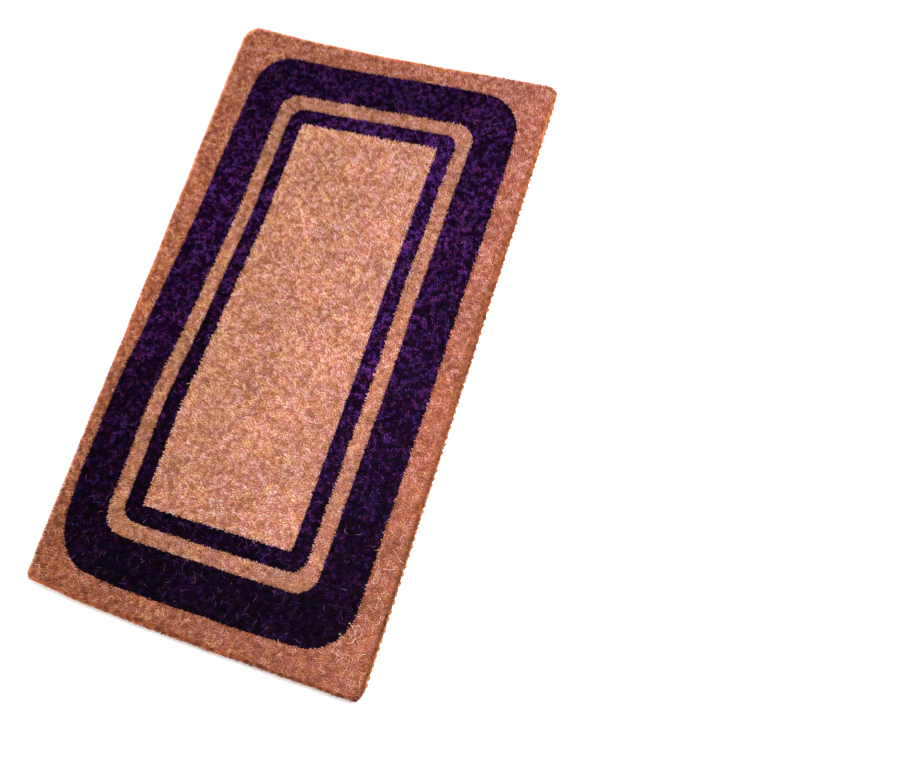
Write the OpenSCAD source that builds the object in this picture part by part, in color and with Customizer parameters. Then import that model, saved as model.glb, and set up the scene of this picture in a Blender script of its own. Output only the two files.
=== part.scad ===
// Hand-woven coir door mat with a printed border of one wide band and one narrow line.
// It lies on the XY plane, pile up: X across the mat, Y along it, Z up, origin under its middle.

/* [Mat] */
// Width of the whole mat
mat_w = 400; // [330:5:600]
// Length of the whole mat
mat_l = 700; // [560:10:1000]
// Height from the floor to the tips of the pile
mat_h = 20; // [16:0.5:30]
// Radius of the mat's own corners
mat_corner_r = 14; // [13:1:30]

/* [Border pattern] */
// Undyed margin along the two long sides
margin_side = 29; // [22:1:40]
// Undyed margin along the two short ends
margin_end = 27; // [22:1:40]
// Width of the wide dyed band
band_w = 48; // [25:1:60]
// Undyed gap between the band and the line
gap_w = 17; // [8:1:25]
// Width of the narrow dyed line
line_w = 20; // [8:1:25]
// Corner radius of the band's outer edge
band_outer_r = 45; // [20:1:60]
// Corner radius of the band's inner edge
band_inner_r = 22; // [8:1:40]
// Corner radius of the line's outer edge
line_outer_r = 17; // [6:1:30]
// Corner radius of the line's inner edge
line_inner_r = 4; // [1:1:20]

/* [Woven ground] */
// Radius of a coir yarn before the loom presses it
yarn_r = 2.2; // [1.8:0.1:3]
// Height of a pressed yarn
yarn_h = 3.8; // [2.6:0.1:4]
// Number of warp yarns, which run along the mat; an odd number puts one on the centre line
warp_count = 31; // [21:2:41]
// Number of weft yarns, which run across the mat
weft_count = 71; // [41:2:81]
// Distance from the ground's edge to the nearest yarn's middle
edge_to_yarn = 5; // [4:0.5:8]

/* [Edge braid] */
// Width of the plaited braid around the mat
braid_w = 12; // [10:0.5:14]
// Radius of the braid's lower outer edge
braid_round_r = 2; // [1:0.5:3]

/* [Stitches] */
// Thickness of the sewing yarn
stitch_d = 1.6; // [1.2:0.1:2]
// Length of one stitch across the seam
stitch_l = 15; // [12:1:18]
// Distance between stitches along the two long sides
stitch_pitch = 25; // [20:1:40]
// Every stitch lies this far above the floor
stitch_lift = 0.2; // [0.1:0.1:0.4]

/* [Hidden] */
$fn = 64;

// The ground is what the four braids enclose
ground_w = mat_w - 2 * braid_w;
ground_l = mat_l - 2 * braid_w;
ground_corner_r = mat_corner_r - braid_w;
ground_h = 2 * yarn_h;

// Evenly spaced yarns, counted from the middle of the mat
warp_pitch = (ground_w - 2 * edge_to_yarn) / (warp_count - 1);
weft_pitch = (ground_l - 2 * edge_to_yarn) / (weft_count - 1);
warp_x = [for (i = [0 : warp_count - 1]) (i - (warp_count - 1) / 2) * warp_pitch];
weft_y = [for (i = [0 : weft_count - 1]) (i - (weft_count - 1) / 2) * weft_pitch];

// Outer width of each area of the pattern, from the outside in
band_x = mat_w - 2 * margin_side;
gap_x = band_x - 2 * band_w;
line_x = gap_x - 2 * gap_w;
field_x = line_x - 2 * line_w;
// The same along the mat
band_y = mat_l - 2 * margin_end;
gap_y = band_y - 2 * band_w;
line_y = gap_y - 2 * gap_w;
field_y = line_y - 2 * line_w;

// A stitch starts in the braid and ends under the nearest yarn
stitch_out = 5;
stitch_count = floor((ground_l - 2 * stitch_pitch) / stitch_pitch) + 1;
stitch_y = [for (i = [0 : stitch_count - 1]) (i - (stitch_count - 1) / 2) * stitch_pitch];
stitch_x = [for (i = [0 : 2 : warp_count - 1]) warp_x[i]];

coir = "#c8916b";
coir_yarn = "#b0794f";
dyed_coir = "#241230";
sewing_yarn = "#8f6a3f";

// A rectangle with rounded corners, centred on the origin
module rounded_plate(w, l, r) {
    square([w - 2 * r, l], center = true);
    square([w, l - 2 * r], center = true);
    for (x = [-1, 1], y = [-1, 1])
        translate([x * (w / 2 - r), y * (l / 2 - r)]) circle(r);
}

// A straight pressed yarn along Y, round at its sides and flat above and below
module pressed_yarn(length) {
    rotate([90, 0, 0])
        linear_extrude(length, center = true)
            intersection() {
                translate([0, yarn_h / 2]) circle(yarn_r);
                translate([-yarn_r, 0]) square([2 * yarn_r, yarn_h]);
            }
}

// One stitch, a flat bar lying along X across the seam at x = 0
module stitch() {
    translate([-(stitch_l - stitch_out), -stitch_d / 2, stitch_lift])
        cube([stitch_l, stitch_d, stitch_d]);
}

// Stitches of one long side; side is -1 on the left and 1 on the right
module side_stitches(side) {
    for (y = stitch_y)
        translate([side * ground_w / 2, y, 0]) rotate([0, 0, side > 0 ? 0 : 180]) stitch();
}

// Stitches of one short end, one under every second warp yarn; end is -1 near and 1 far
module end_stitches(end) {
    for (x = stitch_x)
        translate([x, end * ground_l / 2, 0]) rotate([0, 0, end * 90]) stitch();
}

// The closed plait around the ground, with its outer lower edge rounded off in one step
module braid_ring() {
    difference() {
        union() {
            translate([0, 0, braid_round_r])
                linear_extrude(ground_h - braid_round_r)
                    rounded_plate(mat_w, mat_l, mat_corner_r);
            linear_extrude(braid_round_r)
                rounded_plate(mat_w - braid_round_r, mat_l - braid_round_r,
                              mat_corner_r - braid_round_r / 2);
        }
        translate([0, 0, -1])
            linear_extrude(ground_h + 2)
                rounded_plate(ground_w, ground_l, ground_corner_r);
    }
}

// The part of the plan that belongs to the right-hand braid, cut at 45 degrees at its corners
module side_sector() {
    reach = mat_w / 2 + 10;
    straight = mat_l / 2 - mat_w / 2;
    polygon([[0, -straight], [reach, -straight - reach],
             [reach, straight + reach], [0, straight]]);
}

// The part of the plan that belongs to the far braid
module end_sector() {
    reach = mat_w / 2 + 10;
    straight = mat_l / 2 - mat_w / 2;
    polygon([[0, straight], [reach, straight + reach], [-reach, straight + reach]]);
}

// One braid of the four, with grooves where its stitches lie
module side_braid(side) {
    difference() {
        intersection() {
            braid_ring();
            linear_extrude(ground_h)
                rotate([0, 0, side > 0 ? 0 : 180]) side_sector();
        }
        side_stitches(side);
    }
}

module end_braid(end) {
    difference() {
        intersection() {
            braid_ring();
            linear_extrude(ground_h)
                rotate([0, 0, end > 0 ? 0 : 180]) end_sector();
        }
        end_stitches(end);
    }
}

// An area of pile standing on the ground and the braid
module pile_area(w, l, r) {
    translate([0, 0, ground_h])
        linear_extrude(mat_h - ground_h) rounded_plate(w, l, r);
}

// An area of pile with the next area's space left free inside it
module pile_ring(w, l, r, inner_w, inner_l, inner_r) {
    translate([0, 0, ground_h])
        linear_extrude(mat_h - ground_h)
            difference() {
                rounded_plate(w, l, r);
                rounded_plate(inner_w, inner_l, inner_r);
            }
}

// Lower yarns of the ground, pressed flat where the mat lies on the floor
module warp_yarns() {
    color(coir_yarn)
        difference() {
            for (x = warp_x)
                translate([x, 0, 0]) pressed_yarn(ground_l);
            side_stitches(-1);
            side_stitches(1);
            end_stitches(-1);
            end_stitches(1);
        }
}

// Upper yarns of the ground, which carry the pile
module weft_yarns() {
    color(coir_yarn)
        for (y = weft_y)
            translate([0, y, yarn_h]) rotate([0, 0, 90]) pressed_yarn(ground_w);
}

module braid_left() {
    color(coir_yarn) side_braid(-1);
}

module braid_right() {
    color(coir_yarn) side_braid(1);
}

module braid_near() {
    color(coir_yarn) end_braid(-1);
}

module braid_far() {
    color(coir_yarn) end_braid(1);
}

module stitches_left() {
    color(sewing_yarn) side_stitches(-1);
}

module stitches_right() {
    color(sewing_yarn) side_stitches(1);
}

module stitches_near() {
    color(sewing_yarn) end_stitches(-1);
}

module stitches_far() {
    color(sewing_yarn) end_stitches(1);
}

// Undyed pile between the mat's outline and the wide band
module pile_margin() {
    color(coir)
        pile_ring(mat_w, mat_l, mat_corner_r, band_x, band_y, band_outer_r);
}

// Dyed pile of the wide band
module pile_band() {
    color(dyed_coir)
        pile_ring(band_x, band_y, band_outer_r, gap_x, gap_y, band_inner_r);
}

// Undyed pile between the band and the line
module pile_gap() {
    color(coir)
        pile_ring(gap_x, gap_y, band_inner_r, line_x, line_y, line_outer_r);
}

// Dyed pile of the narrow line
module pile_line() {
    color(dyed_coir)
        pile_ring(line_x, line_y, line_outer_r, field_x, field_y, line_inner_r);
}

// Undyed pile of the middle
module pile_field() {
    color(coir) pile_area(field_x, field_y, line_inner_r);
}

warp_yarns();
weft_yarns();
braid_left();
braid_right();
braid_near();
braid_far();
stitches_left();
stitches_right();
stitches_near();
stitches_far();
pile_margin();
pile_band();
pile_gap();
pile_line();
pile_field();
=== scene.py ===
import math

import bpy
import numpy as np
from mathutils import Matrix, Vector, noise


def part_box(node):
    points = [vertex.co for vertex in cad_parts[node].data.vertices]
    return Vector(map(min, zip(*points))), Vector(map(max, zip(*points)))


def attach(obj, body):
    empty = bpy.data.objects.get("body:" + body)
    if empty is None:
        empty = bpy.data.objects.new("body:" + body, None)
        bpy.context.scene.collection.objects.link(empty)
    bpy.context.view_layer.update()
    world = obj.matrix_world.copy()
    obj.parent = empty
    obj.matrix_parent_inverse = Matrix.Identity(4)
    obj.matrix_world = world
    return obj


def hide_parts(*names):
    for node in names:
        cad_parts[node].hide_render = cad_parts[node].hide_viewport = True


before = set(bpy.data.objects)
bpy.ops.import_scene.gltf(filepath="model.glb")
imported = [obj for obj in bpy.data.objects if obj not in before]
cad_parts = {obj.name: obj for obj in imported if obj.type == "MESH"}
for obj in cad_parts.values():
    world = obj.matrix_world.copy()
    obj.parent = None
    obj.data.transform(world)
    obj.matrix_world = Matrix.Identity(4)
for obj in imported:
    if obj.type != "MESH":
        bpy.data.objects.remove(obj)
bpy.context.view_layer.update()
scene = bpy.context.scene

# ---------------------------------------------------------------------------
# Viewpoint: above the mat's right-hand side and looking down on it, turned so that
# the mat's long side leans to the right.
# ---------------------------------------------------------------------------
eye_place = Vector((0.4127, -0.2770, 0.8481))
eye_target = Vector((0.1954, -0.0284, 0.0200))
eye_roll = math.radians(-25.05)

eye = bpy.data.objects.new("eye", bpy.data.cameras.new("eye"))
eye.data.sensor_width = 36.0
eye.data.lens = 34.19
toward = (eye_target - eye_place).to_track_quat("-Z", "Y").to_matrix().to_4x4()
eye.matrix_world = Matrix.Translation(eye_place) @ toward @ Matrix.Rotation(eye_roll, 4, "Z")
scene.collection.objects.link(eye)
scene.camera = eye

# ---------------------------------------------------------------------------
# Floor and light: a plain pale floor under an even sky, with a wide soft lamp off the
# mat's near left corner and a smaller one near the eye that picks out the fibres' ends.
# ---------------------------------------------------------------------------
floor_reach = 7.0
floor_colour = (0.92, 0.92, 0.92, 1.0)
air_strength = 0.70


def add_node(tree, kind, feeds=None, **settings):
    """A node with its settings made, and its inputs (by name, number or identifier) linked or set."""
    made = tree.nodes.new(kind)
    for name, value in settings.items():
        setattr(made, name, value)
    for key, value in (feeds or {}).items():
        if isinstance(key, int) or key in made.inputs:
            socket = made.inputs[key]
        else:
            socket = next(s for s in made.inputs if s.identifier == key)
        if isinstance(value, bpy.types.NodeSocket):
            tree.links.new(value, socket)
        else:
            socket.default_value = value
    return made


def new_finish(name):
    """An empty material, with its node tree and its shader."""
    finish = bpy.data.materials.new(name)
    finish.use_nodes = True
    return finish, finish.node_tree, finish.node_tree.nodes["Principled BSDF"]


def plain_object(name, mesh):
    """A finished mesh as an object in the scene."""
    made = bpy.data.objects.new(name, mesh)
    scene.collection.objects.link(made)
    return made


def add_lamp(name, place, size, power):
    """A round lamp that faces the middle of the mat."""
    lamp = bpy.data.objects.new(name, bpy.data.lights.new(name, "AREA"))
    lamp.data.shape = "DISK"
    lamp.data.size = size
    lamp.data.energy = power
    lamp.location = place
    lamp.rotation_euler = (-Vector(place)).to_track_quat("-Z", "Y").to_euler()
    scene.collection.objects.link(lamp)


floor_mesh = bpy.data.meshes.new("floor")
floor_corners = [(x * floor_reach, y * floor_reach, 0) for x, y in ((-1, -1), (1, -1), (1, 1), (-1, 1))]
floor_mesh.from_pydata(floor_corners, [], [(0, 1, 2, 3)])
floor = plain_object("floor", floor_mesh)
floor_finish, _, floor_shader = new_finish("floor_paint")
floor_shader.inputs["Base Color"].default_value = floor_colour
floor_shader.inputs["Roughness"].default_value = 0.9
floor_mesh.materials.append(floor_finish)

air = bpy.data.worlds.new("air")
air.use_nodes = True
air.node_tree.nodes["Background"].inputs["Color"].default_value = (1.0, 1.0, 1.0, 1.0)
air.node_tree.nodes["Background"].inputs["Strength"].default_value = air_strength
scene.world = air
scene.view_settings.view_transform = "Standard"

add_lamp("key", (0.55, -0.05, 0.95), 0.3, 15.0)
add_lamp("fill", (-1.0, -1.1, 1.4), 2.0, 14.0)

# ---------------------------------------------------------------------------
# Coir: the stiff husk fibre that every part of the mat is made of. Each fibre has
# its own tone, from brown through tan to pale straw, and painted shade darkens it towards its root.
# ---------------------------------------------------------------------------
# The kinds of value that a tree takes
colour, number, whole, triple, thing = [
    "NodeSocket" + kind for kind in ("Color", "Float", "Int", "Vector", "Object")]
# How fine the tufts' tints, the fibres' grain and the wide clouds are, in waves to a metre
tint_scale, grain_scale, cloud_scale = 120.0, 1400.0, 26.0
# The tones between which a fibre turns from dark to middle, and from middle to pale
to_middle, to_pale = (0.1, 0.45), (0.55, 0.95)
# How far from the mat's middle the painted shade of its ends starts and is darkest, and over what
# depth the dye gives out, all in metres
ends_from, ends_full, dye_fade = 0.12, 0.31, 0.001


def new_group(name, kind, inputs, outputs):
    """An empty node group with named inputs (kind, name, default) and outputs."""
    group = bpy.data.node_groups.new(name, kind)
    for socket_kind, socket_name, default in inputs:
        socket = group.interface.new_socket(socket_name, in_out="INPUT", socket_type=socket_kind)
        if default is not None:
            socket.default_value = default
    for socket_kind, socket_name in outputs:
        group.interface.new_socket(socket_name, in_out="OUTPUT", socket_type=socket_kind)
    return group, group.nodes.new("NodeGroupInput").outputs, group.nodes.new("NodeGroupOutput").inputs


def maths_in(tree):
    """Short forms of the maths nodes for one tree."""
    def maths(operation, *feeds):
        return add_node(tree, "ShaderNodeMath", dict(enumerate(feeds)), operation=operation).outputs[0]

    def vector(operation, *feeds, **scale):
        made = add_node(tree, "ShaderNodeVectorMath", dict(enumerate(feeds)) | scale,
                        operation=operation)
        return made.outputs["Value" if operation == "DOT_PRODUCT" else "Vector"]
    return maths, vector


def blend_colours(tree, share, first, second, how="MIX"):
    """The colour socket of two colours blended by a share."""
    return add_node(tree, "ShaderNodeMix", {"Factor": share, 6: first, 7: second},
                    data_type="RGBA", blend_type=how).outputs[2]


def remap(tree, value, low, high, to_low, to_high):
    """A value's range stretched onto another, held at its ends."""
    return add_node(tree, "ShaderNodeMapRange", {
        "Value": value, "From Min": low, "From Max": high, "To Min": to_low, "To Max": to_high,
    }).outputs["Result"]


def noise_in(tree, place, scale, detail=2.0):
    """The value and the colour of smooth noise at a place."""
    made = add_node(tree, "ShaderNodeTexNoise", {"Vector": place, "Scale": scale, "Detail": detail})
    return made.outputs["Fac"], made.outputs["Color"]


def spread(tree, value, to_low, to_high, usual=0.2):
    """Noise, which mostly keeps within its usual distance of a half, stretched onto a range."""
    return remap(tree, value, 0.5 - usual, 0.5 + usual, to_low, to_high)


def coir_group():
    """Colour and relief of coir fibre, from the fibre's tone and how near its tip is."""
    group, given, result = new_group("coir_fibre", "ShaderNodeTree", [
        (number, "Tone", 0.5), (number, "Tip", 1.0),
        (colour, "Dark", (0.1, 0.04, 0.02, 1.0)), (colour, "Middle", (0.5, 0.25, 0.13, 1.0)),
        (colour, "Pale", (0.8, 0.6, 0.4, 1.0)), (colour, "Warm", (0.98, 0.90, 0.62, 1.0)),
        (colour, "Cool", (1.0, 0.89, 1.08, 1.0)), (number, "Root shade", 0.4),
        (number, "Mottle", 0.2), (number, "Heavy ends", 0.0), (triple, "Drift", None),
        (triple, "Tint drift", None), (colour, "Undyed", (0.32, 0.12, 0.055, 1.0)),
        (number, "Dye depth", -1.0),
    ], [(colour, "Colour"), (number, "Height"), (number, "Roughness")])
    maths, vector = maths_in(group)
    spot = add_node(group, "ShaderNodeTexCoord").outputs["Object"]
    _, along_mat, height = add_node(group, "ShaderNodeSeparateXYZ", {0: spot}).outputs

    # Painted light: along the drift the fibres are painted paler and brighter, steadily across the mat,
    # as if lit more on that side
    drift = vector("DOT_PRODUCT", spot, given["Drift"])
    tone = maths("ADD", given["Tone"], drift)
    past_dark, past_middle = [remap(group, tone, *tones, 0.0, 1.0) for tones in (to_middle, to_pale)]
    body = blend_colours(group, past_dark, given["Dark"], given["Middle"])
    body = blend_colours(group, past_middle, body, given["Pale"])
    tuft, _ = noise_in(group, spot, tint_scale)
    cooler = maths("ADD", spread(group, tuft, 0.0, 1.0, usual=0.14),
                   vector("DOT_PRODUCT", spot, given["Tint drift"]))
    tint = blend_colours(group, cooler, given["Warm"], given["Cool"])
    body = blend_colours(group, 1.0, body, tint, "MULTIPLY")
    depth = maths("SUBTRACT", height, given["Dye depth"])
    body = blend_colours(group, remap(group, depth, 0.0, dye_fade, 0.0, 1.0), given["Undyed"], body)

    grain, _ = noise_in(group, spot, grain_scale)
    specks = spread(group, grain, 0.7, 1.25)
    cloud, _ = noise_in(group, spot, cloud_scale, 3.0)
    clouds = maths("MULTIPLY_ADD", spread(group, cloud, -1.0, 1.0), given["Mottle"], 1.0)
    # Painted shade: each fibre is darker towards its root, where shade falls among the bristles
    painted_root_shade = remap(group, given["Tip"], 0.0, 0.8, given["Root shade"], 1.0)
    # Painted shade: the fibres darken towards the mat's ends, where the light falls off
    to_end = remap(group, maths("ABSOLUTE", along_mat), ends_from, ends_full, 0.0, -1.0)
    ends = maths("MULTIPLY_ADD", to_end, given["Heavy ends"], maths("ADD", drift, 1.0))
    # The fibres' brightness: their own specks and clouds, times the painted shade and painted light
    # above
    light = maths("MULTIPLY", maths("MULTIPLY", maths("MULTIPLY", specks, clouds), painted_root_shade), ends)
    group.links.new(vector("SCALE", body, Scale=light), result["Colour"])
    group.links.new(grain, result["Height"])
    group.links.new(spread(group, grain, 0.85, 0.6), result["Roughness"])
    return group


coir_fibre = coir_group()


def fibre_node(tree, shades, tone=None):
    """The coir group in a material, with its inputs set by name."""
    fibre = add_node(tree, "ShaderNodeGroup", {"Tone": tone} if tone else {}, node_tree=coir_fibre)
    for key, value in shades.items():
        socket = fibre.inputs[key.replace("_", " ").capitalize()]
        socket.default_value = (*value, 1.0) if socket.type == "RGBA" else value
    return fibre


def cover(tree, shader, fibre, height, strength, depth, gloss):
    """Feeds a shader the fibre's colour and roughness, with relief of a strength and depth."""
    relief = add_node(tree, "ShaderNodeBump",
                      {"Height": height, "Strength": strength, "Distance": depth})
    tree.links.new(fibre.outputs["Colour"], shader.inputs["Base Color"])
    tree.links.new(fibre.outputs["Roughness"], shader.inputs["Roughness"])
    tree.links.new(relief.outputs["Normal"], shader.inputs["Normal"])
    shader.inputs["Specular IOR Level"].default_value = gloss


def coir_finish(name, tone_scale=None, gloss=0.35, **shades):
    """A coir material. Its tone is noise of the given scale, or else the fibres carry their own. It
    has painted light that grows along its drift and painted shade at the mat's ends, grows cooler along
    its tint drift, and is undyed below its dye depth."""
    finish, tree, shader = new_finish(name)
    if tone_scale:
        strands, _ = noise_in(tree, add_node(tree, "ShaderNodeTexCoord").outputs["Object"], tone_scale)
        fibre = fibre_node(tree, shades, spread(tree, strands, 0.0, 1.0))
    else:
        fibre = fibre_node(tree, shades)
        for key in ("Tone", "Tip"):
            carried = add_node(tree, "ShaderNodeAttribute", attribute_name=key.lower())
            tree.links.new(carried.outputs["Fac"], fibre.inputs[key])
    cover(tree, shader, fibre, fibre.outputs["Height"], strength=0.6, depth=0.0002, gloss=gloss)
    return finish


# ---------------------------------------------------------------------------
# Ground: the coarse cloth that carries the pile. Twisted two-ply coir yarns run along
# the mat and pass over and under the yarns that run across it, one by one.
# ---------------------------------------------------------------------------
mm = 0.001
mat_low, mat_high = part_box("pile_margin")
warp_low, warp_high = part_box("warp_yarns")
weft_low, weft_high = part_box("weft_yarns")
warp_count, weft_count = 31, 71
yarn_radius = 1.95 * mm
yarn_inset = 2.2 * mm
yarn_stray, stray_scale = 1.2 * mm, 60.0
warp_pitch = (warp_high.x - warp_low.x - 2 * yarn_inset) / (warp_count - 1)
weft_pitch = (weft_high.y - weft_low.y - 2 * yarn_inset) / (weft_count - 1)


def hand_made(points):
    """Points on the mat as the loom and shears leave them: its left side isn't quite square to its
    ends, and its two left corners are drawn out of line. The pulls are in millimetres."""
    u = (points[:, 0] - mat_low.x) / (mat_high.x - mat_low.x)
    v = (points[:, 1] - mat_low.y) / (mat_high.y - mat_low.y)
    left_side = (20.0 - 33.5 * v) * (1 - u)
    right_side = -2.0 * v * u
    far_end = (4.5 * (1 - u) - 4.0 * u + 13.0 * (1 - u) ** 4) * v
    near_end = (u - 1.5 + 9.0 * (1 - u) ** 4) * (1 - v)
    return points + np.stack([left_side + right_side, far_end + near_end], axis=1) * mm


def drawn(piece):
    """A finished piece, its points drawn out of line with the mat."""
    flat = np.empty(len(piece.data.vertices) * 3)
    piece.data.vertices.foreach_get("co", flat)
    points = flat.reshape(-1, 3)
    points[:, :2] = hand_made(points[:, :2])
    piece.data.vertices.foreach_set("co", points.ravel())
    piece.data.update()
    return piece


def poly_curve(name, points, closed=False):
    """A curve through points, for a tree to use."""
    curve = bpy.data.curves.new(name, "CURVE")
    curve.dimensions = "3D"
    spline = curve.splines.new("POLY")
    spline.points.add(len(points) - 1)
    for point, place in zip(spline.points, points):
        point.co = (*place, 1.0)
    spline.use_cyclic_u = closed
    return bpy.data.objects.new(name, curve)


def new_tree(name, *inputs):
    """An empty Geometry Nodes tree with a starting mesh, a finish and other named inputs."""
    return new_group(name, "GeometryNodeTree", [
        ("NodeSocketGeometry", "Geometry", None), *inputs, ("NodeSocketMaterial", "Finish", None),
    ], [("NodeSocketGeometry", "Geometry")])


def end_tree(tree, given, result, geometry):
    """The end of a tree: instances made real, and the finish set."""
    real = add_node(tree, "GeometryNodeRealizeInstances", {"Geometry": geometry})
    done = add_node(tree, "GeometryNodeSetMaterial",
                    {"Geometry": real.outputs[0], "Material": given["Finish"]})
    tree.links.new(done.outputs[0], result["Geometry"])


def stored(tree, geometry, name, value):
    """A geometry whose points carry a named value."""
    return add_node(tree, "GeometryNodeStoreNamedAttribute",
                    {"Geometry": geometry, "Name": name, "Value": value},
                    data_type="FLOAT", domain="POINT").outputs[0]


def combined(tree, x=0.0, y=0.0, z=0.0):
    """Three numbers as one vector."""
    return add_node(tree, "ShaderNodeCombineXYZ", {0: x, 1: y, 2: z}).outputs[0]


def twisted(tree, curve, profile, radius, twist):
    """The mesh of a twisted yarn along a curve, with how far along and round it each point is."""
    maths, _ = maths_in(tree)
    run = add_node(tree, "GeometryNodeSplineParameter").outputs["Length"]
    upright = add_node(tree, "GeometryNodeSetCurveNormal", {"Curve": curve}, mode="Z_UP")
    turned = add_node(tree, "GeometryNodeSetCurveTilt",
                      {"Curve": upright.outputs[0], "Tilt": maths("MULTIPLY", run, twist)})
    outline_curve = add_node(tree, "GeometryNodeObjectInfo", {"Object": profile}).outputs["Geometry"]
    part = add_node(tree, "GeometryNodeSplineParameter").outputs["Factor"]
    sized = add_node(tree, "GeometryNodeTransform", {
        "Geometry": stored(tree, outline_curve, "round", part),
        "Scale": combined(tree, radius, radius, radius)})
    return add_node(tree, "GeometryNodeCurveToMesh", {
        "Curve": stored(tree, turned.outputs[0], "along", run), "Profile Curve": sized.outputs[0],
        "Fill Caps": True}).outputs[0]


def yarn_tree():
    """Geometry Nodes that lay parallel yarns and weave them: each rises and falls at every crossing."""
    tree, given, result = new_tree(
        "woven_yarns", (whole, "Count", 3), (number, "Length", 0.5),
        (triple, "Along", (0.0, 1.0, 0.0)), (triple, "Apart", (0.01, 0.0, 0.0)),
        (number, "Level", 0.004), (number, "Rise", 0.002), (number, "Cell x", 0.01),
        (number, "Cell y", 0.01), (number, "Radius", 0.002), (number, "Twist", 400.0),
        (number, "Step", 0.003), (thing, "Plies", None))
    maths, vector = maths_in(tree)
    end = vector("SCALE", given["Along"], Scale=maths("MULTIPLY", given["Length"], 0.5))
    line = add_node(tree, "GeometryNodeCurvePrimitiveLine",
                    {"Start": vector("SCALE", end, Scale=-1.0), "End": end})
    half_count = maths("MULTIPLY", maths("SUBTRACT", given["Count"], 1.0), -0.5)
    row = add_node(tree, "GeometryNodeMeshLine", {
        "Count": given["Count"], "Start Location": vector("SCALE", given["Apart"], Scale=half_count),
        "Offset": given["Apart"]}, mode="OFFSET")
    laid = add_node(tree, "GeometryNodeInstanceOnPoints",
                    {"Points": row.outputs[0], "Instance": line.outputs[0]})
    real = add_node(tree, "GeometryNodeRealizeInstances", {"Geometry": laid.outputs[0]})
    fine = add_node(tree, "GeometryNodeResampleCurve",
                    {"Curve": real.outputs[0], "Length": given["Step"]}, mode="LENGTH")
    spot = add_node(tree, "GeometryNodeInputPosition").outputs[0]
    spots = add_node(tree, "ShaderNodeSeparateXYZ", {0: spot}).outputs
    waves = [maths("COSINE", maths("MULTIPLY", maths("DIVIDE", spots[axis], given[cell]), math.pi))
             for axis, cell in ((0, "Cell x"), (1, "Cell y"))]
    height = maths("ADD", given["Level"], maths("MULTIPLY", given["Rise"], maths("MULTIPLY", *waves)))
    _, stray = noise_in(tree, spot, stray_scale, 0.0)
    stray = vector("MULTIPLY", vector("SUBTRACT", stray, (0.5, 0.5, 0.5)),
                   (yarn_stray, yarn_stray, 0.0))
    moved = add_node(tree, "GeometryNodeSetPosition", {
        "Geometry": fine.outputs[0], "Offset": vector("ADD", combined(tree, z=height), stray)})
    end_tree(tree, given, result,
             twisted(tree, moved.outputs[0], given["Plies"], given["Radius"], given["Twist"]))
    return tree


def grown(name, tree, start=None, **values):
    """The plain mesh that a Geometry Nodes tree makes of a starting mesh, as a finished object."""
    source = plain_object(name + "_source", start or bpy.data.meshes.new(name + "_source"))
    modifier = source.modifiers.new("nodes", "NODES")
    modifier.node_group = tree
    for item in tree.interface.items_tree:
        key = item.name.replace(" ", "_").lower()
        if item.in_out == "INPUT" and key in values:
            modifier[item.identifier] = values[key]
    bpy.context.view_layer.update()
    seen = bpy.context.evaluated_depsgraph_get()
    mesh = bpy.data.meshes.new_from_object(source.evaluated_get(seen), preserve_all_data_layers=True,
                                           depsgraph=seen)
    mesh.name = name
    source.modifiers.clear()
    bpy.data.objects.remove(source)
    return plain_object(name, mesh)


def yarn_finish(name, **shades):
    """Twisted coir yarn: fine fibres that wind round it, with paler and darker ones among them."""
    waves_round, waves_along = 2.6, 260.0
    finish, tree, shader = new_finish(name)
    maths, vector = maths_in(tree)
    along, round_it = [add_node(tree, "ShaderNodeAttribute", attribute_name=key).outputs["Fac"]
                       for key in ("along", "round")]
    turn = maths("MULTIPLY", round_it, 2 * math.pi)
    wound = combined(tree, maths("MULTIPLY", maths("COSINE", turn), waves_round),
                     maths("MULTIPLY", maths("SINE", turn), waves_round),
                     maths("MULTIPLY", along, waves_along))
    spot = add_node(tree, "ShaderNodeTexCoord").outputs["Object"]
    strands, _ = noise_in(tree, vector("ADD", wound, spot), 1.0, 3.0)
    fibre = fibre_node(tree, shades, spread(tree, strands, 0.0, 1.0))
    cover(tree, shader, fibre, strands, strength=0.8, depth=0.0008, gloss=0.25)
    return finish


def hand_in(piece, slot, node=None):
    """Fixes a finished piece to the mat and hides the plain solid whose place it takes; its slot is not
    used.
    """
    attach(piece, "root")
    if node:
        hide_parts(node)


two_plies = poly_curve("two_plies", [
    (1.0, 0.0, 0.0), (0.68, 0.5, 0.0), (0.0, 0.4, 0.0), (-0.68, 0.5, 0.0),
    (-1.0, 0.0, 0.0), (-0.68, -0.5, 0.0), (0.0, -0.4, 0.0), (0.68, -0.5, 0.0)], closed=True)
ground_finish = yarn_finish("ground_yarn", dark=(0.13, 0.05, 0.02), middle=(0.38, 0.18, 0.08),
                            pale=(0.62, 0.38, 0.20))
woven_yarns = yarn_tree()
shared = dict(level=warp_high.z, cell_x=warp_pitch, cell_y=weft_pitch, radius=yarn_radius,
              twist=420.0, plies=two_plies, finish=ground_finish)
warp = grown("warp_yarns_twisted", woven_yarns, count=warp_count, length=warp_high.y - warp_low.y,
             along=(0.0, 1.0, 0.0), apart=(warp_pitch, 0.0, 0.0), rise=yarn_radius,
             step=2.6 * mm, **shared)
weft = grown("weft_yarns_twisted", woven_yarns, count=weft_count, length=weft_high.x - weft_low.x,
             along=(1.0, 0.0, 0.0), apart=(0.0, weft_pitch, 0.0), rise=-yarn_radius,
             step=3.2 * mm, **shared)
hand_in(drawn(warp), "ground_yarn", "warp_yarns")
hand_in(drawn(weft), "ground_yarn", "weft_yarns")

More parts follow.
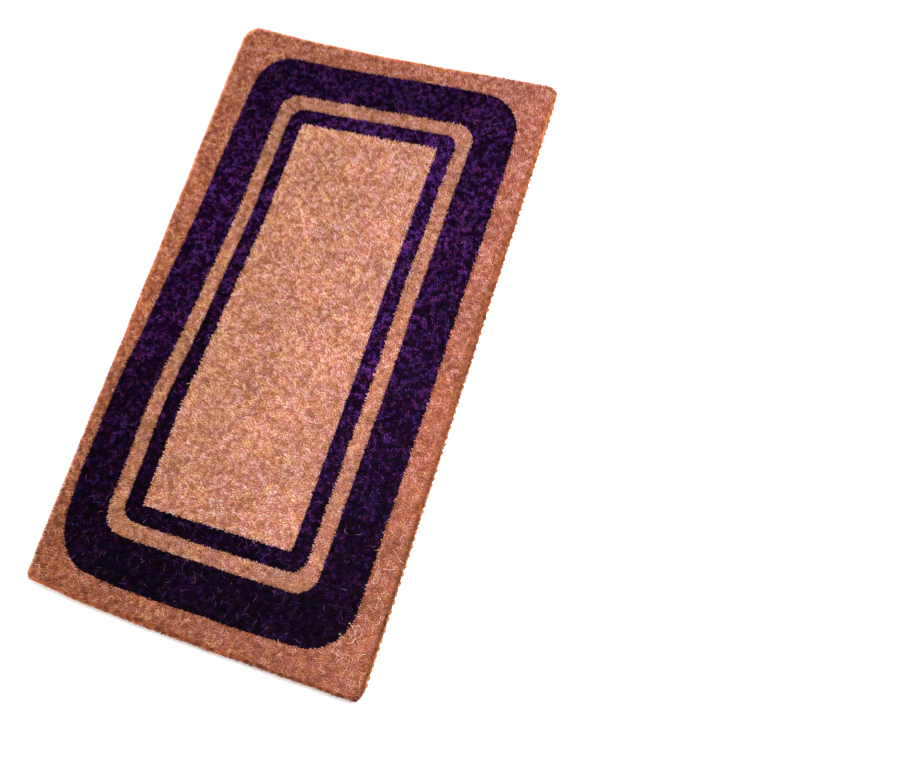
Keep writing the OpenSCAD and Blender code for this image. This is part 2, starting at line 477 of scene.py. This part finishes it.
# ---------------------------------------------------------------------------
# Pile: thousands of tufts of coir, knotted in rows and sheared level. Dye is printed
# through a stencil, so the areas' edges wander a little where fibres lean over them.
# The areas stand on the ground, from the mat's outline in to the middle field.
# ---------------------------------------------------------------------------
areas = {area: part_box(f"pile_{area}") for area in ("band", "gap", "line", "field")}
pile_foot, pile_top = mat_low.z, mat_high.z
root_level = pile_top - 3.0 * mm
# The height above which the roots' surface is uneven
uneven_from = pile_foot + 3 * mm
# How many points an outline has on a side, on an end and round a corner, and how many steps
# round off the outer wall
side_points, end_points, arc_points, round_steps = 240, 120, 12, 6
# The zones of a bed's faces: without bristles, under the pile, and on the mat's outer wall
bare_zone, top_zone, wall_zone = 0, 1, 2


def uneven(x, y, *waves):
    """Smooth unevenness: the sum of waves that each have a height, a size and a seed of their own."""
    return sum(height * noise.noise(Vector((x / size, y / size, seed))) for height, size, seed in waves)


def outline(width, length, radii):
    """Points of a rectangle with four corner radii, and their outward directions, counter-clockwise.
    It starts on the right side, and the radii are far right, far left, near left and near right."""
    points, outward = [], []
    for quarter in range(4):
        turn = quarter * math.pi / 2
        facing = np.array([math.cos(turn), math.sin(turn)])
        along = np.array([-math.sin(turn), math.cos(turn)])
        reach, half_run = (width / 2, length / 2) if quarter % 2 == 0 else (length / 2, width / 2)
        count = side_points if quarter % 2 == 0 else end_points
        radius, start, end = radii[quarter], radii[quarter - 1] - half_run, half_run - radii[quarter]
        for step in range(count):
            points.append(facing * reach + along * (start + (end - start) * step / count))
            outward.append(facing)
        centre = facing * (reach - radius) + along * end
        for step in range(arc_points):
            angle = turn + math.pi / 2 * step / arc_points
            way = np.array([math.cos(angle), math.sin(angle)])
            points.append(centre + way * radius)
            outward.append(way)
    return np.array(points), np.array(outward)


# The stencil slips and stretches a little as the dye is pressed through it: places on the
# frame, how far each is moved, both in millimetres, and how far round it that reaches.
# First its four corners, then its left side and its right side
frame_slips = [
    ((-171, -323), (12.0, 6.0)), ((-171, 323), (0.0, 6.0)),
    ((171, 323), (-5.0, -5.0)), ((171, -323), (0.0, 4.0)),
    ((-120, 105), (3.0, 0.0)), ((-120, -120), (-4.5, 0.0)),
    ((110, 60), (-2.0, 0.0)), ((110, 180), (-2.0, 0.0)),
]
slip_reach = 45 * mm


def print_wander(x, y, seed):
    """How far a printed edge strays from its line."""
    return uneven(x, y, (0.5 * mm, 0.035, seed), (0.35 * mm, 0.006, seed + 7))


def slipped(points):
    """Points on the printed frame, moved as the stencil slips."""
    moved = points.copy()
    for place, slip in frame_slips:
        away = np.linalg.norm(points - np.array(place) * mm, axis=1)[:, None]
        moved += np.array(slip) * mm * np.exp(-0.5 * (away / slip_reach) ** 2)
    return moved


def plan(area):
    """An area's width and length."""
    low, high = areas[area]
    return high.x - low.x, high.y - low.y


def printed_edge(area, radius, seed):
    """An area's outline with the small wander of a printed edge."""
    points, outward = outline(*plan(area), [radius] * 4)
    push = np.array([print_wander(x, y, seed) for x, y in points])
    return slipped(points + outward * push[:, None])


def mat_outline(inset, radii):
    """The mat's own outline, moved inwards by an inset."""
    size = mat_high - mat_low
    points, outward = outline(size.x - 2 * inset, size.y - 2 * inset, radii)
    push = [uneven(x, y, (0.6 * mm, 0.05, 3.0), (0.3 * mm, 0.012, 5.0)) for x, y in points]
    return hand_made(points + outward * np.array(push)[:, None])


def closed_mesh(name, points, faces, zones):
    """A smooth mesh whose faces carry their zone."""
    mesh = bpy.data.meshes.new(name)
    mesh.from_pydata(points, [], faces)
    mesh.attributes.new("zone", "INT", "FACE").data.foreach_set("value", zones)
    mesh.polygons.foreach_set("use_smooth", [True] * len(faces))
    return mesh


def root_height(x, y):
    """How much the roots' surface stands above or below its level."""
    return uneven(x, y, (0.55 * mm, 0.045, 11.0), (0.45 * mm, 0.007, 13.0))


def outer_wall(edge_round):
    """The mat's outer wall from its foot up, as how far in it stands, how high, and its zone. It
    draws in at its foot, swells out a little above, and then rounds over to the top."""
    foot_in, low_swell, high_swell, low_height, brow = 1.5 * mm, 0.5 * mm, 0.8 * mm, 2.0 * mm, 0.5 * mm
    profile = [(foot_in, pile_foot, wall_zone), (-low_swell, pile_foot + low_height, wall_zone),
               (-high_swell, root_level - edge_round - brow, wall_zone)]
    for step in range(1, round_steps):
        angle = math.pi / 2 * step / round_steps
        profile.append((edge_round * (1 - math.cos(angle)),
                        root_level - edge_round * (1 - math.sin(angle)), wall_zone))
    return profile


def ring_roots(area, outer, inner, steps, edge_round=0.0):
    """The closed bed of roots between two outlines; edge_round rounds its outer top edge."""
    width = np.linalg.norm(inner - outer, axis=1)[:, None]
    profile = outer_wall(edge_round) if edge_round else [(0.0, pile_foot, bare_zone)]
    profile.append((edge_round, root_level, top_zone))
    rings = [(inset / width, height, zone) for inset, height, zone in profile]
    for step in range(1, steps + 1):
        share = edge_round / width + (1 - edge_round / width) * step / steps
        rings.append((share, root_level, top_zone if step < steps else bare_zone))
    rings.append((np.ones_like(width), pile_foot, bare_zone))
    around = len(outer)
    points = np.vstack([np.hstack([outer + (inner - outer) * share, np.full((around, 1), height)])
                        for share, height, _ in rings])
    for point in points:
        if point[2] > uneven_from:
            point[2] += root_height(point[0], point[1])
    faces, zones = [], []
    for ring, (_, _, zone) in enumerate(rings):
        following = (ring + 1) % len(rings)
        for step in range(around):
            after = (step + 1) % around
            faces.append((ring * around + step, ring * around + after,
                          following * around + after, following * around + step))
            zones.append(zone)
    return closed_mesh(f"pile_{area}_roots", points.tolist(), faces, zones)


def field_roots(seed, cell=2.6 * mm, corner_cut=0.8 * mm):
    """The closed bed of roots of the middle field, a grid whose rim follows the printed edge."""
    width, length = plan("field")
    across, along = round(width / cell), round(length / cell)
    points, zones, faces = [], [], []
    for row in range(along + 1):
        for column in range(across + 1):
            x, y = width * (column / across - 0.5), length * (row / along - 0.5)
            rim_x, rim_y = column in (0, across), row in (0, along)
            push = print_wander(x, y, seed) - corner_cut * (rim_x and rim_y)
            points.append((x + math.copysign(rim_x, x) * push, y + math.copysign(rim_y, y) * push))
    points = [(x, y, root_level + root_height(x, y)) for x, y in slipped(np.array(points)).tolist()]

    def index(row, column):
        return row * (across + 1) + column

    for row in range(along):
        for column in range(across):
            faces.append((index(row, column), index(row, column + 1),
                          index(row + 1, column + 1), index(row + 1, column)))
            zones.append(top_zone)
    rim = [index(0, c) for c in range(across)] + [index(r, across) for r in range(along)]
    rim += [index(along, c) for c in range(across, 0, -1)] + [index(r, 0) for r in range(along, 0, -1)]
    first = len(points)
    points += [(points[i][0], points[i][1], pile_foot) for i in rim]
    for place, corner in enumerate(rim):
        after = (place + 1) % len(rim)
        faces.append((corner, first + place, first + after, rim[after]))
        zones.append(bare_zone)
    faces.append([first + place for place in reversed(range(len(rim)))])
    zones.append(bare_zone)
    return closed_mesh("pile_field_roots", points, faces, zones)


def bristle_template(sides, bends, taper):
    """One cut fibre of unit height and radius, closed, with a value that rises to 1 at its tip."""
    rings = [(b / bends, 1.0 - (1.0 - taper) * b / bends) for b in range(bends + 1)]
    points = [(r * math.cos(2 * math.pi * s / sides), r * math.sin(2 * math.pi * s / sides), z)
              for z, r in rings for s in range(sides)]
    faces = [(k * sides + s, k * sides + (s + 1) % sides, (k + 1) * sides + (s + 1) % sides,
              (k + 1) * sides + s) for k in range(bends) for s in range(sides)]
    faces += [tuple(reversed(range(sides))), tuple(bends * sides + s for s in range(sides))]
    mesh = bpy.data.meshes.new("bristle")
    mesh.from_pydata(points, [], faces)
    mesh.attributes.new("tip", "FLOAT", "POINT").data.foreach_set("value", [p[2] for p in points])
    return bpy.data.objects.new("bristle", mesh)


def on_zone(tree, given):
    """Whether a face of a bed is in the wanted zone."""
    zone = add_node(tree, "GeometryNodeInputNamedAttribute", {"Name": "zone"}, data_type="INT")
    return add_node(tree, "FunctionNodeCompare",
                    {"A_INT": zone.outputs["Attribute"], "B_INT": given["Zone"]},
                    data_type="INT", operation="EQUAL").outputs[0]


def kept_inside(tree, given, points):
    """The points that stand inside the box between its low and high corners, seen from above."""
    maths, _ = maths_in(tree)
    spot = add_node(tree, "GeometryNodeInputPosition").outputs[0]
    spots = add_node(tree, "ShaderNodeSeparateXYZ", {0: spot}).outputs
    outside = 0.0
    for corner, operation in (("Box low", "LESS_THAN"), ("Box high", "GREATER_THAN")):
        limits = add_node(tree, "ShaderNodeSeparateXYZ", {0: given[corner]}).outputs
        for axis in (0, 1):
            outside = maths("MAXIMUM", outside, maths(operation, spots[axis], limits[axis]))
    return add_node(tree, "GeometryNodeDeleteGeometry", {"Geometry": points, "Selection": outside},
                    domain="POINT").outputs[0]


def chance(tree, low, high, seed):
    """A random number between two for each point, or a random vector between two triples."""
    if isinstance(high, tuple):
        return add_node(tree, "FunctionNodeRandomValue", {"Min": low, "Max": high, "Seed": seed},
                        data_type="FLOAT_VECTOR").outputs[0]
    return add_node(tree, "FunctionNodeRandomValue", {"Min_001": low, "Max_001": high, "Seed": seed},
                    data_type="FLOAT").outputs[1]


def bristle_tree():
    """Geometry Nodes that stand bristles on one zone of a bed, inside one box."""
    tree, given, result = new_tree(
        "bristle_pile", (whole, "Zone", 1), (number, "Spacing", 0.0011), (number, "Length", 0.003),
        (number, "Length spread", 0.0006), (number, "Thickness", 0.0004), (number, "Jitter", 0.25),
        (number, "Clump lean", 0.3), (number, "Clump size", 0.008), (number, "Upright", 0.8),
        (whole, "Seed", 1), (triple, "Box low", (-1.0, -1.0, -1.0)),
        (triple, "Box high", (1.0, 1.0, 1.0)), (thing, "Bristle", None))
    crowding, lean_gain, tuft_scale, own_tone = 2.2, 4.0, 200.0, 0.32
    thinnest, thickest = 0.65, 1.35
    maths, vector = maths_in(tree)

    most = maths("DIVIDE", crowding, maths("MULTIPLY", given["Spacing"], given["Spacing"]))
    sown = add_node(tree, "GeometryNodeDistributePointsOnFaces", {
        "Mesh": given["Geometry"], "Selection": on_zone(tree, given), "Distance Min": given["Spacing"],
        "Density Max": most, "Seed": given["Seed"]}, distribute_method="POISSON")
    spot = add_node(tree, "GeometryNodeInputPosition").outputs[0]

    _, clumps = noise_in(tree, vector("DIVIDE", spot, given["Clump size"]), 1.0, 1.0)
    clump_way = vector("SCALE", vector("SUBTRACT", clumps, (0.5, 0.5, 0.5)),
                       Scale=maths("MULTIPLY", given["Clump lean"], lean_gain))
    any_way = chance(tree, (-1.0, -1.0, -1.0), (1.0, 1.0, 1.0), maths("ADD", given["Seed"], 1.0))
    own_way = vector("SCALE", any_way, Scale=given["Jitter"])
    base_way = add_node(tree, "ShaderNodeMix", {
        "Factor": given["Upright"], "A_Vector": sown.outputs["Normal"], "B_Vector": (0.0, 0.0, 1.0)},
        data_type="VECTOR").outputs[1]
    way = vector("ADD", vector("ADD", base_way, clump_way), own_way)
    spin = chance(tree, (0.0, 0.0, 0.0), (0.0, 0.0, 2 * math.pi), 0)
    turned = add_node(tree, "FunctionNodeEulerToRotation", {0: spin})
    aimed = add_node(tree, "FunctionNodeAlignRotationToVector",
                     {"Rotation": turned.outputs[0], "Vector": way}, axis="Z")

    length = chance(tree, maths("SUBTRACT", given["Length"], given["Length spread"]),
                    maths("ADD", given["Length"], given["Length spread"]),
                    maths("ADD", given["Seed"], 2.0))
    thick = maths("MULTIPLY", given["Thickness"],
                  chance(tree, thinnest, thickest, maths("ADD", given["Seed"], 3.0)))
    tuft, _ = noise_in(tree, spot, tuft_scale, 1.0)
    own = chance(tree, 0.0, 1.0, maths("ADD", given["Seed"], 4.0))
    tone = maths("ADD", maths("MULTIPLY", own, own_tone),
                 spread(tree, tuft, 0.0, 1.0 - own_tone, usual=0.14))
    kept = kept_inside(tree, given, sown.outputs["Points"])
    shape = add_node(tree, "GeometryNodeObjectInfo", {"Object": given["Bristle"]})
    stood = add_node(tree, "GeometryNodeInstanceOnPoints", {
        "Points": stored(tree, kept, "tone", tone), "Instance": shape.outputs["Geometry"],
        "Rotation": aimed.outputs[0], "Scale": combined(tree, thick, thick, length)})
    end_tree(tree, given, result, stood.outputs[0])
    return tree


bristles = bristle_tree()
top_pile = dict(spacing=1.05 * mm, length=3.3 * mm, length_spread=0.7 * mm, thickness=0.52 * mm,
                jitter=0.3, clump_lean=0.22, clump_size=4.5 * mm, upright=0.8, seed=5,
                zone=top_zone, bristle=bristle_template(sides=3, bends=1, taper=0.8))
side_pile = dict(spacing=1.1 * mm, length=4.0 * mm, length_spread=0.3 * mm, thickness=0.5 * mm,
                 jitter=0.12, clump_lean=0.07, clump_size=7 * mm, upright=0.72, seed=9,
                 zone=wall_zone, bristle=bristle_template(sides=3, bends=2, taper=0.6))

# The margin's and the wall's fibres are painted darker than the field's: partly their own colour,
# partly painted shade where the light falls off towards the edge and down the wall. Each finish's drift
# is painted light across the mat, and the darkening towards the ends is painted shade
field_fibre = coir_finish(
    "field_fibre", dark=(0.41, 0.16, 0.092), middle=(0.86, 0.44, 0.30), pale=(0.99, 0.80, 0.67),
    root_shade=0.45, mottle=0.12, drift=(0.25, 0.0, 0.0), tint_drift=(1.6, 0.0, 0.0))
gap_fibre = coir_finish(
    "gap_fibre", dark=(0.36, 0.13, 0.07), middle=(0.76, 0.35, 0.225), pale=(0.93, 0.66, 0.52),
    root_shade=0.45, mottle=0.12, heavy_ends=0.2, drift=(0.25, -0.05, 0.0), tint_drift=(1.6, 0.0, 0.0))
edge_fibre = coir_finish(
    "edge_fibre", dark=(0.30, 0.082, 0.039), middle=(0.67, 0.24, 0.146), pale=(0.92, 0.54, 0.39),
    root_shade=0.45, mottle=0.10, heavy_ends=0.13, drift=(0.24, 0.14, 0.0), tint_drift=(1.5, 0.5, 0.0))
side_fibre = coir_finish(
    "side_fibre", dark=(0.27, 0.066, 0.021), middle=(0.63, 0.200, 0.072), pale=(0.85, 0.42, 0.22),
    root_shade=0.7, mottle=0.15, drift=(-0.55, 0.45, 0.0))
dye = dict(warm=(1.0, 0.75, 0.75), cool=(0.6, 0.9, 1.0), root_shade=0.4, mottle=0.35, gloss=0.05)
# The dyed finishes' pale fibres are painted glints: light violet specks that stand for light catching
# the dyed tips
dyed_fibre = coir_finish(
    "dyed_fibre", dark=(0.0038, 0.0004, 0.0055), middle=(0.0275, 0.0013, 0.039),
    pale=(0.19, 0.042, 0.29), heavy_ends=0.55, drift=(0.25, 0.3, 0.0), **dye)
line_fibre = coir_finish(
    "line_fibre", dark=(0.0035, 0.0005, 0.0055), middle=(0.028, 0.0014, 0.040),
    pale=(0.21, 0.045, 0.32), heavy_ends=0.6, drift=(0.8, 0.5, 0.0), **dye)
roots = dict(root_shade=1.0, tone_scale=700.0)
field_root = coir_finish("field_root", dark=(0.14, 0.045, 0.02), middle=(0.36, 0.14, 0.07),
                         pale=(0.6, 0.3, 0.18), mottle=0.15, **roots)
edge_root = coir_finish("edge_root", dark=(0.12, 0.035, 0.012), middle=(0.32, 0.10, 0.045),
                        pale=(0.5, 0.2, 0.1), mottle=0.15, **roots)
dyed_root = coir_finish("dyed_root", dark=(0.001, 0.0004, 0.0015), middle=(0.004, 0.001, 0.007),
                        pale=(0.014, 0.005, 0.024), mottle=0.2, dye_depth=pile_foot + 0.5 * mm,
                        gloss=0.06, **roots)

field_seed = 24.0
mat_edge = mat_outline(2.0 * mm, radii=[9 * mm, 18 * mm, 4 * mm, 8 * mm])
band_edge = printed_edge("band", radius=45 * mm, seed=21.0)
gap_edge = printed_edge("gap", radius=22 * mm, seed=22.0)
line_edge = printed_edge("line", radius=17 * mm, seed=23.0)
field_edge = printed_edge("field", radius=4 * mm, seed=field_seed)

# Each area's bed of roots, the finishes of its roots and of its bristles, and its slot
beds = {
    "margin": (ring_roots("margin", mat_edge, band_edge, steps=10, edge_round=5.0 * mm),
               edge_root, edge_fibre, "natural_pile"),
    "band": (ring_roots("band", band_edge, gap_edge, steps=18), dyed_root, dyed_fibre, "dyed_pile"),
    "gap": (ring_roots("gap", gap_edge, line_edge, steps=6), field_root, gap_fibre, "natural_pile"),
    "line": (ring_roots("line", line_edge, field_edge, steps=7), dyed_root, line_fibre, "dyed_pile"),
    "field": (field_roots(field_seed), field_root, field_fibre, "natural_pile"),
}
# Each area's bristles are made in boxes, so that no piece is too heavy. A box is given by its
# low x and y and its high x and y, and "out" is outside the mat
out = 1.0
margin_x, band_x = areas["band"][1].x, areas["gap"][1].x
third = areas["field"][1].y / 3
boxes = {
    "margin": {"left": (-out, -out, -margin_x, out), "right": (margin_x, -out, out, out),
               "near": (-margin_x, -out, margin_x, 0), "far": (-margin_x, 0, margin_x, out)},
    "band": {"left_near": (-out, -out, -band_x, 0), "left_far": (-out, 0, -band_x, out),
             "right_near": (band_x, -out, out, 0), "right_far": (band_x, 0, out, out),
             "near": (-band_x, -out, band_x, 0), "far": (-band_x, 0, band_x, out)},
    "gap": {"tufts": (-out, -out, out, out)},
    "line": {"tufts": (-out, -out, out, out)},
    "field": {"near": (-out, -out, out, -third), "middle": (-out, -third, out, third),
              "far": (-out, third, out, out)},
}


def stand(name, area, finish, pile):
    """Bristles in each box of an area, as finished pieces."""
    for part, (x_from, y_from, x_to, y_to) in boxes[area].items():
        yield grown(f"{name}_{part}", bristles, beds[area][0], finish=finish,
                    box_low=(x_from, y_from, -out), box_high=(x_to, y_to, out), **pile)


for area, (bed, root_finish, fibre_finish, slot) in beds.items():
    for piece in stand(f"pile_{area}", area, fibre_finish, top_pile):
        hand_in(piece, slot, f"pile_{area}")
    if area == "margin":
        for piece in stand("pile_wall", area, side_fibre, side_pile):
            hand_in(piece, slot)
    bed.materials.clear()
    bed.materials.append(root_finish)
    hand_in(plain_object(f"pile_{area}_roots", bed), slot, f"pile_{area}")

# ---------------------------------------------------------------------------
# Loose fibres: long curly husk fibres that shearing leaves lying on the pile, tangled in
# its tips. Those on the printed areas took up the dye.
# ---------------------------------------------------------------------------


def loose_tree():
    """Geometry Nodes that lay long curly fibres over one zone of a bed."""
    tree, given, result = new_tree(
        "loose_fibres", (whole, "Zone", 1), (number, "Density", 3000.0), (number, "Length", 0.02),
        (number, "Curl", 0.004), (number, "Curl size", 0.008), (number, "Radius", 0.0002),
        (number, "Level", 0.02), (number, "Lift", 0.001), (whole, "Seed", 1),
        (triple, "Box low", (-1.0, -1.0, -1.0)), (triple, "Box high", (1.0, 1.0, 1.0)))
    shortest, longest = 0.4, 1.2
    maths, vector = maths_in(tree)
    sown = add_node(tree, "GeometryNodeDistributePointsOnFaces", {
        "Mesh": given["Geometry"], "Selection": on_zone(tree, given), "Density": given["Density"],
        "Seed": given["Seed"]}, distribute_method="RANDOM")
    line = add_node(tree, "GeometryNodeCurvePrimitiveLine", {
        "Start": combined(tree, maths("MULTIPLY", given["Length"], -0.5)),
        "End": combined(tree, maths("MULTIPLY", given["Length"], 0.5))})
    laid = add_node(tree, "GeometryNodeInstanceOnPoints", {
        "Points": kept_inside(tree, given, sown.outputs["Points"]), "Instance": line.outputs[0],
        "Rotation": chance(tree, (0.0, 0.0, 0.0), (0.0, 0.0, 2 * math.pi), given["Seed"]),
        "Scale": chance(tree, shortest, longest, given["Seed"])})
    real = add_node(tree, "GeometryNodeRealizeInstances", {"Geometry": laid.outputs[0]})
    fine = add_node(tree, "GeometryNodeResampleCurve", {"Curve": real.outputs[0], "Count": 11},
                    mode="COUNT")
    spot = add_node(tree, "GeometryNodeInputPosition").outputs[0]
    _, sway = noise_in(tree, vector("DIVIDE", spot, given["Curl size"]), 1.0, 0.0)
    sway = vector("SUBTRACT", sway, (0.5, 0.5, 0.5))
    sways = add_node(tree, "ShaderNodeSeparateXYZ", {0: sway}).outputs
    spots = add_node(tree, "ShaderNodeSeparateXYZ", {0: spot}).outputs
    rise = maths("SUBTRACT", maths("MULTIPLY_ADD", sways[2], given["Lift"], given["Level"]), spots[2])
    offset = combined(tree, maths("MULTIPLY", sways[0], given["Curl"]),
                      maths("MULTIPLY", sways[1], given["Curl"]), rise)
    curled = add_node(tree, "GeometryNodeSetPosition", {"Geometry": fine.outputs[0], "Offset": offset})
    shape = add_node(tree, "GeometryNodeCurvePrimitiveCircle",
                     {"Resolution": 3, "Radius": given["Radius"]})
    tube = add_node(tree, "GeometryNodeCurveToMesh", {
        "Curve": curled.outputs[0], "Profile Curve": shape.outputs[0], "Fill Caps": True})
    end_tree(tree, given, result, tube.outputs[0])
    return tree


loose_look = dict(root_shade=1.0, mottle=0.1, tone_scale=150.0)
loose_natural = coir_finish("loose_fibre", dark=(0.55, 0.26, 0.14), middle=(0.88, 0.60, 0.42),
                            pale=(1.0, 0.85, 0.7), **loose_look)
# The dyed loose fibres are painted a lighter violet than the dyed pile, as painted glints along them
loose_dyed = coir_finish("loose_dyed_fibre", dark=(0.03, 0.008, 0.05), middle=(0.10, 0.045, 0.18),
                         pale=(0.30, 0.18, 0.42), gloss=0.1, **loose_look)
loose_fibres = loose_tree()
for area, (bed, _, _, slot) in beds.items():
    piece = grown(f"pile_{area}_loose", loose_fibres, bed, zone=top_zone, density=5200.0,
                  length=7 * mm, curl=5 * mm, curl_size=5 * mm, radius=0.16 * mm,
                  level=pile_top + 0.3 * mm, lift=2.0 * mm, seed=31,
                  finish=loose_dyed if slot == "dyed_pile" else loose_natural)
    hand_in(piece, slot, f"pile_{area}")

# A tangle of longer ones lies on the near right corner
tangle_low = (margin_x - 12 * mm, mat_low.y + 12 * mm, -out)
tangle_high = (mat_high.x - 9 * mm, -0.19, out)
tangle = grown("pile_margin_tangle", loose_fibres, beds["margin"][0], zone=top_zone, density=9000.0,
               length=15 * mm, curl=11 * mm, curl_size=7 * mm, radius=0.2 * mm,
               level=pile_top + 0.4 * mm, lift=2.0 * mm, seed=8, finish=loose_natural,
               box_low=tangle_low, box_high=tangle_high)
hand_in(tangle, "natural_pile", "pile_margin")

# ---------------------------------------------------------------------------
# Edge braid: three thick twisted coir yarns plaited flat and sewn round the mat, which
# binds the cut ends of the ground. It lies flat under the rim of the pile.
# ---------------------------------------------------------------------------
braid_low, braid_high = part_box("braid_right")
braid_width = 12 * mm
strand_radius = 2.15 * mm
strand_sway = braid_width / 2 - strand_radius
strand_rise = (braid_high.z - braid_low.z) / 2 - strand_radius
plait_length = 27 * mm
braid_inset = 0.4 * mm


def braid_tree():
    """Geometry Nodes that plait three yarns along a path."""
    tree, given, result = new_tree(
        "edge_braid", (thing, "Path", None), (number, "Plaits", 20.0), (number, "Sway", 0.004),
        (number, "Rise", 0.002), (number, "Radius", 0.002), (number, "Twist", 500.0),
        (number, "Step", 0.002), (thing, "Plies", None))
    maths, vector = maths_in(tree)
    path = add_node(tree, "GeometryNodeObjectInfo", {"Object": given["Path"]})
    fine = add_node(tree, "GeometryNodeResampleCurve",
                    {"Curve": path.outputs["Geometry"], "Length": given["Step"]}, mode="LENGTH")
    along = add_node(tree, "GeometryNodeInputTangent").outputs[0]
    across = vector("NORMALIZE", vector("CROSS_PRODUCT", along, (0.0, 0.0, 1.0)))
    run = add_node(tree, "GeometryNodeSplineParameter").outputs["Factor"]
    angle = maths("MULTIPLY", maths("MULTIPLY", run, given["Plaits"]), 2 * math.pi)
    joined = add_node(tree, "GeometryNodeJoinGeometry")
    for strand in range(3):
        phase = maths("ADD", angle, strand * 2 * math.pi / 3)
        sway = maths("MULTIPLY", maths("SINE", phase), given["Sway"])
        rise = maths("MULTIPLY", maths("SINE", maths("MULTIPLY", phase, 2.0)), given["Rise"])
        offset = vector("ADD", vector("SCALE", across, Scale=sway), combined(tree, z=rise))
        moved = add_node(tree, "GeometryNodeSetPosition",
                         {"Geometry": fine.outputs[0], "Offset": offset})
        yarn = twisted(tree, moved.outputs[0], given["Plies"], given["Radius"], given["Twist"])
        tree.links.new(yarn, joined.inputs[0])
    end_tree(tree, given, result, joined.outputs[0])
    return tree


braid_line = mat_outline(braid_width / 2 + braid_inset, radii=[7 * mm] * 4)
braid_middle = (braid_low.z + braid_high.z) / 2
braid_finish = yarn_finish("braid_yarn", dark=(0.15, 0.055, 0.02), middle=(0.45, 0.2, 0.085),
                           pale=(0.7, 0.42, 0.22))
edge_braid = braid_tree()
# Each braid runs from the middle of one corner to the middle of the next, counter-clockwise
last = -(arc_points // 2)
for side, straight in (("right", side_points), ("far", end_points), ("left", side_points),
                       ("near", end_points)):
    first, last = last, last + straight + arc_points
    stops = [(*braid_line[i % len(braid_line)], braid_middle) for i in range(first, last + 1)]
    span = sum((Vector(b) - Vector(a)).length for a, b in zip(stops, stops[1:]))
    piece = grown(f"braid_{side}_plait", edge_braid, path=poly_curve(f"{side}_path", stops),
                  plaits=float(round(span / plait_length)), sway=strand_sway, rise=strand_rise,
                  radius=strand_radius, twist=520.0, step=1.4 * mm, plies=two_plies,
                  finish=braid_finish)
    hand_in(piece, "braid_yarn", f"braid_{side}")

# ---------------------------------------------------------------------------
# Stitches: short bights of thin sewing yarn that pass round the braid's inner strand
# and the nearest ground yarn, pulled tight on the underside.
# ---------------------------------------------------------------------------
stitch_radius = 0.8 * mm
stitch_depth = 10 * mm
stitch_over = 5 * mm
stitch_height = 4.5 * mm
stitch_clearance = 0.1 * mm
stitch_twist = 900.0
side_stitches, end_stitches = 26, (warp_count + 1) // 2


def stitch_tree():
    """Geometry Nodes that lay one stitch on each point of a run."""
    tree, given, result = new_tree(
        "stitch_run", (whole, "Count", 3), (triple, "First", (0.0, 0.0, 0.0)),
        (triple, "Apart", (0.01, 0.0, 0.0)), (number, "Turn", 0.0), (thing, "Bight", None),
        (thing, "Plies", None), (number, "Radius", 0.001))
    bight = add_node(tree, "GeometryNodeObjectInfo", {"Object": given["Bight"]})
    yarn = twisted(tree, bight.outputs["Geometry"], given["Plies"], given["Radius"], stitch_twist)
    row = add_node(tree, "GeometryNodeMeshLine", {
        "Count": given["Count"], "Start Location": given["First"], "Offset": given["Apart"]},
        mode="OFFSET")
    laid = add_node(tree, "GeometryNodeInstanceOnPoints", {
        "Points": row.outputs[0], "Instance": yarn, "Rotation": combined(tree, z=given["Turn"])})
    end_tree(tree, given, result, laid.outputs[0])
    return tree


def bight_points(steps=12):
    """A stitch's path: down through the ground, across the seam underneath and up into the braid."""
    points = []
    for step in range(steps + 1):
        angle = math.pi * step / steps
        x = (stitch_over - stitch_depth) / 2 - math.cos(angle) * (stitch_over + stitch_depth) / 2
        dip = (1 - math.sin(angle)) ** 2
        points.append((x, 0.0, stitch_radius + stitch_clearance + stitch_height * dip))
    return points


bight = poly_curve("bight", bight_points())
sewing_finish = yarn_finish("sewing_yarn", dark=(0.10, 0.05, 0.02), middle=(0.28, 0.16, 0.07),
                            pale=(0.5, 0.34, 0.18))
stitch_run = stitch_tree()
for quarter, side in enumerate(("right", "far", "left", "near")):
    run_low, run_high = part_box(f"stitches_{side}")
    axis = 1 - quarter % 2
    count = side_stitches if axis else end_stitches
    first = [math.copysign(weft_high.x, run_low.x), math.copysign(warp_high.y, run_low.y), 0.0]
    first[axis] = run_low[axis] + stitch_radius
    apart = [0.0, 0.0, 0.0]
    apart[axis] = (run_high[axis] - stitch_radius - first[axis]) / (count - 1)
    piece = grown(f"stitches_{side}_bights", stitch_run, count=count, first=tuple(first),
                  apart=tuple(apart), turn=quarter * math.pi / 2, bight=bight, plies=two_plies,
                  radius=stitch_radius, finish=sewing_finish)
    hand_in(drawn(piece), "sewing_yarn", f"stitches_{side}")
